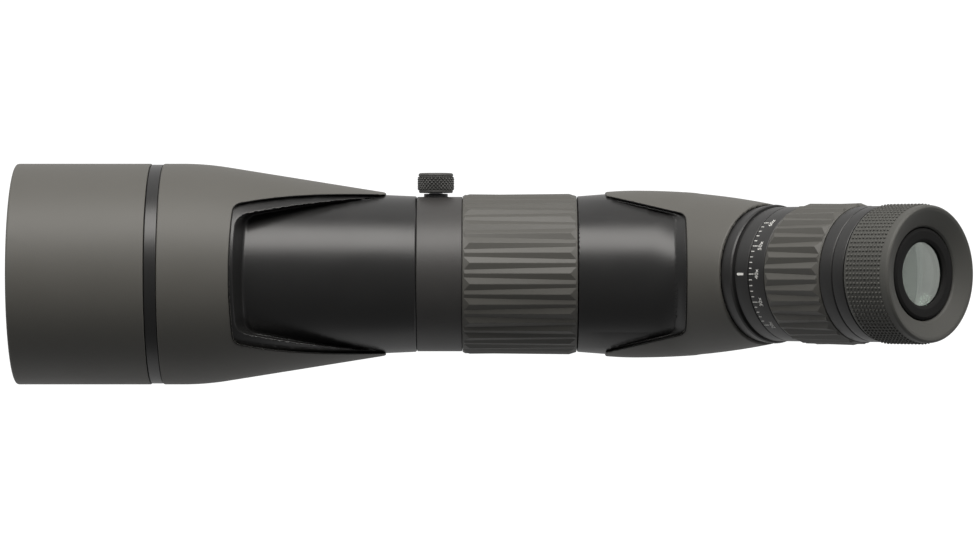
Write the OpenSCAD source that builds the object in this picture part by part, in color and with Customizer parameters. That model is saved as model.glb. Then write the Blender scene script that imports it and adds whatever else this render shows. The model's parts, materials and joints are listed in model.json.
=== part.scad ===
// Angled spotting scope, 80 mm aperture, with a rotating tripod collar.
// Millimetres. +X runs from the objective towards the eyepiece, +Z is up, and
// the origin is the mouth of the tripod socket, at the middle of the foot's face.

/* [Body line] */
// Height of the optical axis above the foot's face
axis_h = 56; // [54:1:64]
// Radius of the main barrel next to the tripod collar
barrel_rear_r = 33.8; // [33.6:0.1:34.2]
// Radius of the main barrel at the front end of the windows
barrel_window_r = 35.4; // [35.0:0.1:36.0]

/* [Sunshade] */
// Outer radius of the sunshade
shade_r = 48; // [47.6:0.1:50]
// Length of the sunshade
shade_len = 58.5; // [56:0.5:62]
// How far the sunshade slides forward
shade_travel = 35; // [20:1:35]
// Thickness of the rubber skin on the sunshade
shade_skin = 1.6; // [1:0.1:1.7]

/* [Objective] */
// Clear radius of the objective
aperture_r = 40; // [38:0.5:40]
// Radius of the objective lenses at their rims
lens_rim_r = 41; // [40.5:0.1:41]
// Centre thickness of the front lens
front_lens_t = 11; // [10:0.5:12]
// Centre thickness of the rear lens
rear_lens_t = 5; // [4:0.5:6]

/* [Front armour] */
// Outer radius of the front armour where it is widest
armour_r = 48; // [47:0.5:50]
// Thickness of the front armour's rubber
armour_skin = 1.4; // [1:0.1:1.6]
// Length of the smooth band left bare between the sunshade and the armour
band_len = 5.2; // [3:0.1:7]
// Distance from the collar to the blunt ends of the side tongues
tongue_gap = 13.3; // [12:0.1:20]

/* [Tripod collar] */
// Outer radius of the collar ring
collar_r = 33.6; // [33:0.1:35]
// Width of the collar ring
collar_len = 19.3; // [18:0.1:20]
// Length of the foot plate
foot_len = 62; // [48:1:80]
// Width of the foot plate
foot_w = 30; // [26:1:40]
// Thickness of the foot plate
foot_t = 8.8; // [8:0.1:8.8]
// Minor radius of the quarter-inch socket thread
socket_r = 2.55; // [2.5:0.05:2.65]
// Depth of the socket thread, which runs a little past the plate into the neck
socket_len = 9; // [7:0.5:11]

/* [Lock knob] */
// Radius of the knob
knob_r = 8; // [7:0.5:10]
// Length of the knob
knob_len = 8.4; // [8:0.1:12]
// Knob position along the barrel
knob_x = -1.7; // [-3:0.1:3]
// Pitch of the locking thread
lock_pitch = 1; // [0.8:0.1:1]

/* [Focusing ring] */
// Radius over the ridges of the focusing grip
focus_r = 34.9; // [34.5:0.1:36]
// Length of the focusing grip
focus_len = 49.4; // [48:0.1:50]
// Ridges around the focusing grip
focus_ridges = 24; // [18:1:30]
// Travel of the focusing lens
focus_travel = 12; // [8:1:12]
// Turn of the focusing ring from one stop to the other
focus_turn = 180; // [120:10:180]

/* [Prism] */
// Length of the prism's entrance and exit faces
prism_face = 44; // [38:1:44]
// Width of the prism
prism_w = 32; // [28:1:32]

/* [Rear body] */
// Outer radius of the rear armour
rear_r = 36.2; // [35.8:0.1:37]
// Outer radius of the prism housing
housing_r = 33.9; // [33.6:0.1:34]

/* [Eyepiece] */
// Distance along the eyepiece axis from the bend to the eyepiece flange
eye_base = 49.7; // [49:0.1:52]
// Outer radius of the index and scale rings
scale_r = 28.6; // [28.4:0.1:29]
// Radius over the ridges of the zoom grip
zoom_r = 29.7; // [29:0.1:30.5]
// Length of the zoom grip
zoom_len = 30; // [28:0.1:32]
// Ridges around the zoom grip
zoom_ridges = 20; // [16:1:24]
// Turn of the zoom ring from lowest to highest power
zoom_turn = 98; // [80:2:110]
// Travel of the front zoom lens cell
zoom_front_travel = 10; // [6:1:10]
// Travel of the rear zoom lens cell, which moves the other way
zoom_rear_travel = 8; // [4:1:8]

/* [Eyecup] */
// Outer radius of the rubber eyecup
cup_r = 29; // [28.5:0.1:30]
// Length of the rubber eyecup
cup_len = 23.3; // [22:0.1:24]
// Rise of the eyecup when it is twisted up
cup_rise = 9; // [5:0.5:9]
// Turn that lifts the eyecup all the way
cup_turn = 180; // [150:10:180]

/* [Hidden] */
$fn = 96;

// Colours
armour_grey = [0.30, 0.30, 0.28];
grip_grey = [0.27, 0.27, 0.25];
tube_black = [0.11, 0.11, 0.11];
collar_black = [0.17, 0.17, 0.17];
seal_black = [0.06, 0.06, 0.06];
bare_metal = [0.70, 0.70, 0.72];
brass_yellow = [0.75, 0.60, 0.30];
lens_glass = [0.55, 0.68, 0.66, 0.5];
bearing_nylon = [0.80, 0.80, 0.76];

// Clearances: a running fit, the gap between neighbours that move, and a cutter's overshoot
fit = 0.05;
gap = 0.3;
over = 1;

// Stations along the optical axis
collar_half = collar_len / 2;
band_rear_x = -119.8;
band_front_x = band_rear_x - band_len;
shade_rear_x = band_front_x - gap;
shade_front_x = shade_rear_x - shade_len;
barrel_front_x = shade_front_x + 5.8;
barrel_shoulder_x = -collar_half - gap;
journal_end_x = collar_half - fit;
focus_front_x = collar_half + gap;
focus_rear_x = focus_front_x + focus_len;
housing_front_x = focus_rear_x + gap;
bend_x = 109.6;

// Barrel radii
shade_bore_r = shade_r - shade_skin - 1.2;
nose_r = shade_bore_r - 0.6;
band_r = shade_r - 0.4;
journal_r = 29;
liner_r = journal_r + fit;
liner_out_r = 30;
cell_seat_r = nose_r - 2;
guide_r = 26;
guide_bore_r = 23;
flange_r = 31;
flange_t = 2;
sleeve_r = 31.6;

// Focusing lens and its pins
focus_mid_x = 34;
focus_pin_r = 1.5;
focus_pin_tip_r = 28.6;

// Eyepiece radii and stations along its own axis, measured from the bend
eye_tilt = 45;
eye_bore_r = 19;
eye_tube_r = 21;
cam_r = 23.5;
zoom_sleeve_r = 26.5;
spigot_r = 24.4;
zoom_pin_r = 1.2;
boss_end = eye_base - 7;
index_end = eye_base + 8;
scale_end = eye_base + 16.8;
zoom_end = scale_end + zoom_len;
collar_seam = zoom_end + 6.9;
cup_base = collar_seam + 6.2;
cup_front = cup_base + gap;
cup_end = cup_front + cup_len;
eye_tube_end = cup_end - 8.6;
zoom_front_mid = eye_base + 14.3;
zoom_rear_mid = eye_base + 36.3;
cup_pin_mid = collar_seam - 0.3;
cup_guide_r = 23.3;

// Where the detent ring's two keys sit, clear of the eyecup's helical grooves
key_angles = [70, 250];

// Front armour: cylinder, then a soft shoulder, then a straight cone
shoulder_x = -111.5;
cone_x = -92;
cone_slope = 0.16;
tongue_tip_x = -collar_half - tongue_gap;
function front_armour_r(x) =
    x < shoulder_x ? armour_r
    : x < cone_x ? armour_r - cone_slope * pow(x - shoulder_x, 2) / (2 * (cone_x - shoulder_x))
    : armour_r - cone_slope * (cone_x - shoulder_x) / 2 - cone_slope * (x - cone_x);

// Boss that carries the eyepiece: its radius falls gently along its axis
function boss_r(z) = rear_r - 1 - 0.07 * z - 0.0011 * z * z;

// Points of a lens section: [radius, place], bulging forwards by sag_front and backwards by sag_rear
function lens_section(rim, front, rear, sag_front, sag_rear, steps = 10) = concat(
    [for (i = [0:steps]) [rim * i / steps, front + sag_front * pow(i / steps, 2)]],
    [for (i = [steps:-1:0]) [rim * i / steps, rear - sag_rear * pow(i / steps, 2)]]
);

// Turns a section of [radius, x] points about the optical axis
module turned(points) translate([0, 0, axis_h]) rotate([0, 90, 0]) rotate_extrude() polygon(points);

// Tube about the optical axis
module tube_x(r_out, r_in, x0, x1) turned([[r_in, x0], [r_out, x0], [r_out, x1], [r_in, x1]]);

// Places what is drawn about Z onto the eyepiece axis, from the bend outwards
module on_eyepiece() translate([bend_x, 0, axis_h]) rotate([0, eye_tilt, 0]) children();

// Turns a section of [radius, distance] points about the eyepiece axis
module turned_eye(points) on_eyepiece() rotate_extrude() polygon(points);

// Tube about the eyepiece axis
module tube_eye(r_out, r_in, z0, z1) turned_eye([[r_in, z0], [r_out, z0], [r_out, z1], [r_in, z1]]);

// O-ring section about either axis
module seal_x(r, x, t) translate([x, 0, axis_h]) rotate([0, 90, 0])
    rotate_extrude() translate([r, 0]) circle(t);
module seal_eye(r, z, t) on_eyepiece() translate([0, 0, z]) rotate_extrude() translate([r, 0]) circle(t);

// Rounded plate lying on Z = 0
module rounded_plate(l, w, r, h) linear_extrude(h) union() {
    square([l - 2 * r, w], center = true);
    square([l, w - 2 * r], center = true);
    for (sx = [-1, 1], sy = [-1, 1]) translate([sx * (l / 2 - r), sy * (w / 2 - r)]) circle(r);
}

// Two opposite helical slots about Z. A pin at +Y or -Y stays in them while it travels along Z
// by travel as the slotted part turns through turn degrees. hand is 1 or -1.
module helical_slots(r_in, r_out, width, mid, travel, turn, hand) {
    r_mean = (r_in + r_out) / 2;
    slope = atan(travel / (r_mean * turn * PI / 180));
    half_a = width / sin(slope) / r_mean / 2 * 180 / PI;
    h = travel + width;
    twist = hand * turn * h / travel;
    steps = 5;
    arc = [for (i = [0:steps]) -half_a + 2 * half_a * i / steps];
    sector = concat(
        [for (a = arc) [r_out * cos(a), r_out * sin(a)]],
        [for (i = [steps:-1:0]) [r_in * cos(arc[i]), r_in * sin(arc[i])]]
    );
    for (side = [-90, 90]) translate([0, 0, mid - h / 2]) rotate([0, 0, side + twist / 2])
        linear_extrude(h, twist = twist, slices = ceil(abs(twist) / 10), segments = len(sector))
            polygon(sector);
}

// Radial pins at +Y and -Y about Z
module side_pins(r, r0, r1, z) for (side = [-1, 1])
    translate([0, side * r0, z]) rotate([-side * 90, 0, 0]) cylinder(r = r, h = r1 - r0);

// Straight slots at +Y and -Y for pins that travel along Z
module side_slots(r, r1, mid, travel) {
    length = travel + 2 * r;
    translate([-r, -r1, mid - length / 2]) cube([2 * r, 2 * r1, length]);
}

// Turns a frame drawn about Z onto the optical axis, with Z along X and Y kept
module on_axis() translate([0, 0, axis_h]) rotate([0, 90, 0]) children();

// ---- Tripod collar ----

module lock_axis(y) translate([knob_x, y, axis_h]) rotate([-90, 0, 0]) children();

bushing_r = 5.2;
bushing_y = 32.4;
shoe_r = 4;
stud_r = 3;
neck_len = 16.5;
neck_w = 22;
insert_r = 5.5;
knob_y = 35.5;

module mount_collar() color(collar_black) difference() {
    union() {
        tube_x(collar_r, liner_out_r - over, -collar_half, collar_half);
        translate([-neck_len / 2, -neck_w / 2, foot_t / 2])
            cube([neck_len, neck_w, axis_h - liner_out_r - foot_t / 2]);
        rounded_plate(foot_len, foot_w, 4, foot_t);
    }
    on_axis() cylinder(r = liner_out_r, h = 2 * collar_len, center = true);
    translate([0, 0, -over]) cylinder(r = insert_r, h = socket_len + over);
    lock_axis(0) cylinder(r = shoe_r + fit, h = collar_r + over);
    lock_axis(bushing_y) cylinder(r = bushing_r, h = 5);
}

module collar_liner() color(bearing_nylon) difference() {
    tube_x(liner_out_r, liner_r, -collar_half + 0.2, collar_half - 0.2);
    lock_axis(0) cylinder(r = shoe_r + fit, h = collar_r);
}

module socket_insert() color(brass_yellow) difference() {
    cylinder(r = insert_r, h = socket_len);
    translate([0, 0, -over]) cylinder(r = socket_r, h = socket_len + 2 * over);
}

module lock_bushing() color(collar_black) lock_axis(bushing_y) difference() {
    cylinder(r = bushing_r, h = 2.5);
    translate([0, 0, -over]) cylinder(r = stud_r + fit, h = 5);
}

shoe_y = 31.2;
nose_of_stud_r = 2;

module brake_shoe() color(bearing_nylon) difference() {
    lock_axis(journal_r - 1) cylinder(r = shoe_r, h = shoe_y - journal_r + 1);
    on_axis() cylinder(r = journal_r + fit, h = 2 * collar_len, center = true, $fn = 180);
    lock_axis(30.2) cylinder(r = nose_of_stud_r + fit, h = 5);
}

module lock_stud() color(bare_metal) lock_axis(30.3) {
    cylinder(r = nose_of_stud_r, h = 2);
    translate([0, 0, shoe_y + fit - 30.3]) cylinder(r = stud_r, h = knob_y + 6 - shoe_y - fit);
}

module lock_knob() color(grip_grey) lock_axis(knob_y) difference() {
    rotate_extrude() polygon([
        [0, 0], [knob_r - 0.7, 0], [knob_r, 0.7], [knob_r, knob_len - 0.9], [knob_r - 0.9, knob_len],
        [0, knob_len]
    ]);
    translate([0, 0, -over]) cylinder(r = stud_r, h = 6 + over);
    for (i = [0:17]) rotate([0, 0, i * 20]) translate([knob_r + 0.3, 0, 1])
        cylinder(r = 0.6, h = knob_len - 2.2);
}

// ---- Objective barrel and what it holds ----

felt_x = [-175, -169];
felt_w = 3;
stop_x = -164.8;
stop_w = 2.2;
lip_w = 1.7;

// Ends of the barrel's long conical bore: [radius, x]
bore_front = [aperture_r + 0.6, -122];
bore_mid = [33, -84];
bore_rear = [31, -14];

// Surface that the armour lies on, down to where it meets the barrel under the tongues
armour_x = [shoulder_x, -107, -102, -97, cone_x];
armour_bed = concat(
    [for (x = armour_x) [front_armour_r(x) - armour_skin, x]], [[front_armour_r(-26.5) - armour_skin, -26.5]]
);

// Plan of the pocket behind the window, a little smaller than the window
pocket_half = [[-85.2, 22.5], [-82.1, 25.3], [-64.5, 28.8], [-40.7, 31.7], [-27, 33]];

module window_floor() polygon(concat(
    pocket_half, [for (i = [len(pocket_half) - 1:-1:0]) [pocket_half[i][0], -pocket_half[i][1]]]
));

module objective_barrel() color(tube_black) difference() {
    turned([
        [cell_seat_r, barrel_front_x], [nose_r - 0.5, barrel_front_x], [nose_r, barrel_front_x + 0.5],
        [nose_r, band_front_x], [band_r, band_front_x], [band_r, band_rear_x - 0.15],
        [armour_r - armour_skin, band_rear_x - 0.15], each armour_bed,
        [barrel_rear_r + 0.6, tongue_tip_x], [barrel_rear_r, barrel_shoulder_x - 0.4],
        [barrel_rear_r - 0.4, barrel_shoulder_x], [journal_r, barrel_shoulder_x], [journal_r, journal_end_x],
        [guide_r + gap, journal_end_x], [guide_r + gap, bore_rear[1]], bore_rear, bore_mid,
        bore_front, [aperture_r + 0.6, cell_stop_x], [cell_seat_r, cell_stop_x]
    ]);
    for (x = felt_x) tube_x(nose_r + over, nose_r - 0.6, x, x + felt_w);
    tube_x(nose_r + over, nose_r - 0.7, stop_x, stop_x + stop_w);
    difference() {
        union() {
            translate([0, 0, axis_h]) linear_extrude(axis_h) window_floor();
            translate([0, 0, -over]) linear_extrude(axis_h + over) window_floor();
        }
        turned([
            [0, -90], [barrel_window_r, -90], [barrel_window_r, -86.5], [barrel_rear_r + 0.6, tongue_tip_x],
            [0, tongue_tip_x]
        ]);
    }
}

module shade_felt_rings() color(seal_black)
    for (x = felt_x) tube_x(shade_bore_r - fit, nose_r - 0.6, x, x + felt_w);

module shade_stop_ring() color(bare_metal) tube_x(nose_r + 0.3, nose_r - 0.7, stop_x, stop_x + stop_w);

// Half the window's outline in plan, from its closed end to its open end
window_half = [
    [-89, 12], [-88.4, 21], [-87.2, 28], [-83.7, 30.4], [-68.3, 32.8], [-54, 33.9], [-40.5, 34.4], [-24, 34.2]
];

module front_window() linear_extrude(axis_h) polygon(concat(
    window_half, [[0, 34.2], [0, -34.2]],
    [for (i = [len(window_half) - 1:-1:0]) [window_half[i][0], -window_half[i][1]]]
));

module front_armour() color(armour_grey) {
    outline = [for (x = concat([band_rear_x], armour_x, [tongue_tip_x])) [front_armour_r(x), x]];
    bed = [for (i = [len(armour_bed) - 1:-1:0]) armour_bed[i]];
    difference() {
        turned(concat(
            outline, [[barrel_rear_r + 0.6, tongue_tip_x]], bed, [[armour_r - armour_skin, band_rear_x]]
        ));
        translate([0, 0, axis_h]) front_window();
        translate([0, 0, -over]) front_window();
    }
}

lens_front_x = -172.4;
spacer_t = 1.2;
front_sag = [3.7, 4.2];
rear_sag = [-4.4, -0.9];
rear_lens_x = lens_front_x + front_lens_t + spacer_t;
cell_rear_x = rear_lens_x + rear_lens_t + 4;
cell_stop_x = -150;

module objective_cell() color(tube_black) turned([
    [lens_rim_r + fit, lens_front_x - 2.5], [cell_seat_r - fit, lens_front_x - 2.5],
    [cell_seat_r - fit, cell_rear_x], [aperture_r - 0.2, cell_rear_x],
    [aperture_r - 0.2, rear_lens_x + rear_lens_t + 1.2], [lens_rim_r + fit, rear_lens_x + rear_lens_t + 1.2]
]);

module objective_front_lens() color(lens_glass) turned(
    lens_section(lens_rim_r, lens_front_x, lens_front_x + front_lens_t, front_sag[0], front_sag[1]));

module objective_rear_lens() color(lens_glass) turned(
    lens_section(lens_rim_r, rear_lens_x, rear_lens_x + rear_lens_t, rear_sag[0], rear_sag[1]));

module objective_spacer() color(tube_black) {
    front_x = lens_front_x + front_lens_t - front_sag[1] * pow(aperture_r / lens_rim_r, 2);
    tube_x(lens_rim_r, aperture_r, front_x + 0.02, rear_lens_x + rear_sag[0] - 0.02);
}

module objective_retainer() color(tube_black) turned([
    [aperture_r - 0.5, lens_front_x - 2], [cell_seat_r - fit, lens_front_x - 4.5],
    [cell_seat_r - fit, lens_front_x - 2.6], [lens_rim_r, lens_front_x - 2.6],
    [lens_rim_r, lens_front_x + front_sag[0] - 0.1], [aperture_r - 0.5, lens_front_x + front_sag[0] - 0.4]
]);

module objective_seal() color(seal_black) seal_x(cell_seat_r - 0.61, cell_rear_x + 0.6, 0.58);

// Thin sharp-edged ring seated in the bore, from x to x + 1
module baffle(r, x, from, to) {
    function wall(at) = from[0] + (to[0] - from[0]) * (at - from[1]) / (to[1] - from[1]) - fit;
    turned([[r, x], [wall(x), x], [wall(x + 1), x + 1], [r, x + 0.6]]);
}

module barrel_baffles() color(tube_black) {
    baffle(37.6, -118, bore_front, bore_mid);
    baffle(29.6, -60, bore_mid, bore_rear);
}

// ---- Sunshade ----

module sunshade_tube() color(tube_black) turned([
    [shade_bore_r, shade_front_x + 1.2], [shade_r - shade_skin, shade_front_x + 1.2],
    [shade_r - shade_skin, shade_rear_x], [nose_r + fit, shade_rear_x], [nose_r + fit, shade_rear_x - lip_w],
    [shade_bore_r, shade_rear_x - lip_w]
]);

module sunshade_armour() color(armour_grey) turned([
    [shade_r - shade_skin, shade_rear_x], [shade_r - shade_skin, shade_front_x + 1.2],
    [shade_bore_r, shade_front_x + 1.2], [shade_bore_r, shade_front_x + 0.6],
    [shade_bore_r + 0.6, shade_front_x],
    [shade_r - 1, shade_front_x], [shade_r - 0.3, shade_front_x + 0.3], [shade_r, shade_front_x + 1],
    [shade_r, shade_rear_x - 0.3], [shade_r - 0.3, shade_rear_x]
]);

// ---- Focusing ----

module guide_tube() color(tube_black) difference() {
    turned([
        [guide_bore_r, -12], [guide_r + gap - fit, -12], [guide_r + gap - fit, focus_front_x],
        [flange_r, focus_front_x], [flange_r, focus_front_x + flange_t], [guide_r, focus_front_x + flange_t],
        [guide_r, housing_front_x + 4], [guide_bore_r, housing_front_x + 4]
    ]);
    on_axis() side_slots(focus_pin_r + fit, guide_r + over, focus_mid_x, focus_travel + 0.2);
}

seal_t = 0.75;
focus_seal_x = [focus_front_x + 5, focus_rear_x - 4];

module focus_sleeve() color(tube_black) difference() {
    tube_x(sleeve_r, guide_r + fit, focus_front_x + flange_t + gap, focus_rear_x - 0.4);
    on_axis() helical_slots(
        guide_r - over, 29, 2 * focus_pin_r + 0.2, focus_mid_x, focus_travel, focus_turn, 1
    );
    for (x = focus_seal_x) tube_x(guide_r + 1.6, guide_r - over, x - seal_t - fit, x + seal_t + fit);
}

module focus_seals() color(seal_black) for (x = focus_seal_x) seal_x(guide_r + fit + seal_t, x, seal_t);

module focus_grip() color(grip_grey) difference() {
    turned([
        [flange_r + gap, focus_front_x], [focus_r - 1.1, focus_front_x], [focus_r, focus_front_x + 3],
        [focus_r, focus_rear_x - 3], [focus_r - 1.1, focus_rear_x], [sleeve_r, focus_rear_x],
        [sleeve_r, focus_front_x + flange_t + gap], [flange_r + gap, focus_front_x + flange_t + gap]
    ]);
    for (i = [0:focus_ridges - 1]) on_axis() rotate([0, 0, i * 360 / focus_ridges])
        translate([focus_r + 0.35, 0, focus_front_x + 2]) rotate([0, 0, 45]) cube([1.6, 1.6, focus_len - 4]);
}

focus_cell_x = [focus_mid_x - 10, focus_mid_x + 10];

module focus_cell() color(tube_black) difference() {
    turned([
        [20.5, focus_cell_x[0]], [guide_bore_r - fit, focus_cell_x[0]], [guide_bore_r - fit, focus_cell_x[1]],
        [18.6, focus_cell_x[1]], [18.6, focus_mid_x + 4.5], [20.5, focus_mid_x + 4.5]
    ]);
    on_axis() side_pins(focus_pin_r, 17, guide_r, focus_mid_x);
}

module focus_lens() color(lens_glass) turned(
    lens_section(20.45, focus_mid_x + 0.4, focus_mid_x + 3.4, -1.1, -1.1));

module focus_lens_retainer() color(tube_black) turned([
    [18.8, focus_mid_x - 5], [20.45, focus_mid_x - 5], [20.45, focus_mid_x - 2], [20.45, focus_mid_x - 0.8],
    [18.8, focus_mid_x - 0.7]
]);

module focus_pins() color(bare_metal) on_axis() side_pins(focus_pin_r, 20.6, focus_pin_tip_r, focus_mid_x);

// ---- Prism and rear body ----

// Outer or inner form of the rear body: a barrel with a domed end, joined to the tilted boss.
// The barrel loses fall in radius, ever more quickly, on its way to the dome.
module rear_form(r, boss_inset, x0, boss_z, fall = 0.8) {
    waist = [for (x = [85, 93, 101]) [r - fall * pow((x - 85) / (bend_x - 85), 2), x]];
    end_r = r - fall;
    dome = concat(waist, [for (a = [0:10:90]) [end_r * cos(a), bend_x + end_r * sin(a)]]);
    stations = concat([for (z = [2, 12, 22, 32]) if (z < boss_z - 1) z], [boss_z]);
    turned(concat([[0, x0], [r, x0]], dome));
    turned_eye(concat([[0, 2]], [for (z = stations) [boss_r(z) - boss_inset, z]], [[0, boss_z]]));
}

ledge_x = [93.5, 98.5];
housing_inset = 2.3;

module prism_housing() color(tube_black) difference() {
    rear_form(housing_r, housing_inset, housing_front_x, boss_end);
    difference() {
        rear_form(housing_r - 3, housing_inset + 2.7, housing_front_x + 4, 30, 0);
        tube_x(housing_r, 27, ledge_x[0], ledge_x[1]);
    }
    tube_x(guide_r + fit, 0, housing_front_x - over, housing_front_x + 4 + over);
    tube_eye(spigot_r + fit, 0, 20, boss_end + over);
    for (a = [45:90:315]) on_axis() rotate([0, 0, a]) translate([28.7, 0, ledge_x[0] - over])
        cylinder(r = 1.05, h = 9);
}

rear_window_end_x = 105.5;

module rear_window() linear_extrude(axis_h + 40) polygon([
    [50, 33.4], [73.5, 33.4], [102.7, 26.4], [rear_window_end_x, 24.2],
    [rear_window_end_x, -24.2], [102.7, -26.4], [73.5, -33.4], [50, -33.4]
]);

rear_tip_x = 71.9;

module rear_armour() color(armour_grey) difference() {
    rear_form(rear_r, 0, rear_tip_x, boss_end);
    rear_form(housing_r, housing_inset, rear_tip_x - over, boss_end);
    tube_eye(boss_r(boss_end) - housing_inset, 0, boss_end - over, boss_end + over);
    translate([0, 0, axis_h]) rear_window();
    translate([0, 0, axis_h]) mirror([0, 0, 1]) rear_window();
    tube_eye(spigot_r, 0, 20, boss_end + 3);
}

// The prism's three edges in the XZ plane: apex, lower front edge and lower rear edge
entry_drop = prism_face * sqrt(2) / 4;
prism_x = bend_x - prism_face * (sqrt(2) - 1) * sqrt(2) / 4;
prism_apex = [prism_x, axis_h + entry_drop];
prism_low = [prism_x, prism_apex[1] - prism_face];
prism_tail = [prism_x + prism_face / sqrt(2), prism_apex[1] - prism_face / sqrt(2)];

module roof_prism() color(lens_glass) intersection() {
    translate([0, prism_w / 2, 0]) rotate([90, 0, 0]) linear_extrude(prism_w)
        polygon([prism_apex, prism_low, prism_tail]);
    translate([prism_low[0], 0, prism_low[1]]) rotate([0, -22.5, 0]) translate([-10, 0, 0])
        rotate([45, 0, 0]) cube([prism_face + 20, prism_face + 10, prism_face + 10]);
}

plate_t = 2.2;
cage_x = ledge_x[1];

module prism_cage() color(bare_metal) difference() {
    union() {
        tube_x(housing_r - 3 - 0.1, 16.5, cage_x, prism_x - 0.4);
        for (side = [-1, 1]) translate([0, side * (prism_w / 2 + plate_t / 2 + 0.1) + plate_t / 2, 0])
            rotate([90, 0, 0]) linear_extrude(plate_t) polygon([
                [prism_x - 1, axis_h + 12], [prism_x - 1, axis_h - 19], [prism_x + 20, axis_h - 19],
                [prism_x + 24, axis_h - 10]
            ]);
    }
    for (a = [45:90:315]) on_axis() rotate([0, 0, a]) translate([28.7, 0, cage_x - over])
        cylinder(r = 1.05, h = 9);
}

module prism_screws() color(bare_metal) for (a = [45:90:315]) on_axis() rotate([0, 0, a])
    translate([28.7, 0, ledge_x[0] - 1.6]) {
        cylinder(r = 1.9, h = 1.6);
        cylinder(r = 1, h = 10.2);
    }

// Leaf spring across the prism's tail, bent down over both cheeks of the cage
module prism_clamp() color(bare_metal)
    translate([prism_apex[0], 0, prism_apex[1]]) rotate([0, 45, 0]) translate([prism_face * 0.74, 0, 0.05]) {
        half = prism_w / 2 + plate_t + 0.3;
        translate([0, -half, 0]) cube([6, 2 * half, 0.8]);
        for (side = [0, 1]) mirror([0, side, 0]) translate([0, half - 0.1, -7]) cube([6, 0.8, 7.8]);
    }

// ---- Eyepiece, fixed parts ----

module eyepiece_barrel() color(tube_black) difference() {
    turned_eye([
        [eye_bore_r, 31], [spigot_r, 31], [spigot_r, boss_end], [scale_r - 1.2, boss_end],
        [scale_r - 1.2, boss_end + 4.2], [scale_r + 1.1, boss_end + 5.2], [scale_r + 1.1, eye_base - 0.5],
        [scale_r + 0.6, eye_base], [eye_tube_r, eye_base], [eye_tube_r, eye_tube_end],
        [eye_bore_r, eye_tube_end]
    ]);
    tube_eye(spigot_r + over, spigot_r - 1.3, 36.2, 37.8);
    on_eyepiece() side_slots(zoom_pin_r + fit, eye_tube_r + over, zoom_front_mid, zoom_front_travel + 0.2);
    on_eyepiece() side_slots(zoom_pin_r + fit, eye_tube_r + over, zoom_rear_mid, zoom_rear_travel + 0.2);
}

module eyepiece_seal() color(seal_black) seal_eye(spigot_r - 0.65, 37, 0.64);

module field_stop() color(tube_black) turned_eye([
    [12.5, 33], [eye_bore_r - fit, 33], [eye_bore_r - fit, 36], [13.5, 36], [12.5, 35]
]);

module index_ring() color(tube_black) turned_eye([
    [cam_r + gap, eye_base], [scale_r - 0.3, eye_base], [scale_r, eye_base + 0.3],
    [scale_r, index_end - 0.5], [scale_r - 0.3, index_end - 0.2], [cam_r + gap, index_end - 0.2]
]);

module eye_collar() color(tube_black) turned_eye([
    [eye_tube_r, zoom_end + gap], [scale_r - 0.5, zoom_end + gap], [scale_r - 0.2, zoom_end + gap + 0.3],
    [scale_r - 0.2, collar_seam - 0.3], [scale_r - 0.5, collar_seam], [25.6, collar_seam],
    [25.6, zoom_end + 1.3], [eye_tube_r, zoom_end + 1.3]
]);

module eyecup_stop_ring() color(tube_black) turned_eye([
    [25.6, collar_seam], [scale_r - 0.9, collar_seam], [scale_r - 0.9, collar_seam + 0.4],
    [scale_r - 0.2, collar_seam + 0.5], [scale_r - 0.2, cup_base - 0.3], [scale_r - 0.5, cup_base],
    [25.6, cup_base]
]);

module eyecup_guide() color(tube_black) difference() {
    tube_eye(cup_guide_r, eye_tube_r, zoom_end + 1.3, eye_tube_end - 0.5);
    on_eyepiece() rotate([0, 0, 90]) helical_slots(
        22, cup_guide_r + over, 2 * zoom_pin_r + 0.2, cup_pin_mid + cup_rise / 2, cup_rise, cup_turn, -1
    );
    on_eyepiece() for (a = key_angles) rotate([0, 0, a])
        translate([22, -1.5, zoom_end]) cube([2, 3, cup_rise + 3.6]);
}

lens_seat = eye_tube_end + 3.5;

module eye_lens_housing() color(tube_black) turned_eye([
    [17.05, eye_tube_end - 14], [eye_bore_r - fit, eye_tube_end - 14], [eye_bore_r - fit, eye_tube_end + 4.6],
    [eye_bore_r - 0.6, cup_end - 3.4], [14.2, cup_end - 3.4], [13.2, cup_end - 4.3], [13.2, lens_seat],
    [17.05, lens_seat]
]);

module eye_lens() color(lens_glass) turned_eye(
    lens_section(17, eye_tube_end - 1.5, lens_seat + 0.85, 0.3, 1.5));

module eye_doublet() color(lens_glass) turned_eye(
    lens_section(17, eye_tube_end - 11, eye_tube_end - 3, 2, 2.6));

// ---- Zoom ring and lens cells ----

module zoom_cam() color(bare_metal) difference() {
    tube_eye(cam_r, eye_tube_r + fit, eye_base + 1, zoom_end - 0.3);
    on_eyepiece() helical_slots(
        eye_tube_r - over, cam_r + over, 2 * zoom_pin_r + 0.2, zoom_front_mid, zoom_front_travel, zoom_turn, 1
    );
    on_eyepiece() helical_slots(
        eye_tube_r - over, cam_r + over, 2 * zoom_pin_r + 0.2, zoom_rear_mid, zoom_rear_travel, zoom_turn, -1
    );
}

module scale_ring() color(tube_black) turned_eye([
    [cam_r, index_end + 0.1], [scale_r - 0.3, index_end + 0.1], [scale_r, index_end + 0.4],
    [scale_r, scale_end],
    [cam_r, scale_end]
]);

module zoom_sleeve() color(tube_black) tube_eye(zoom_sleeve_r, cam_r, scale_end, zoom_end);

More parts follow.
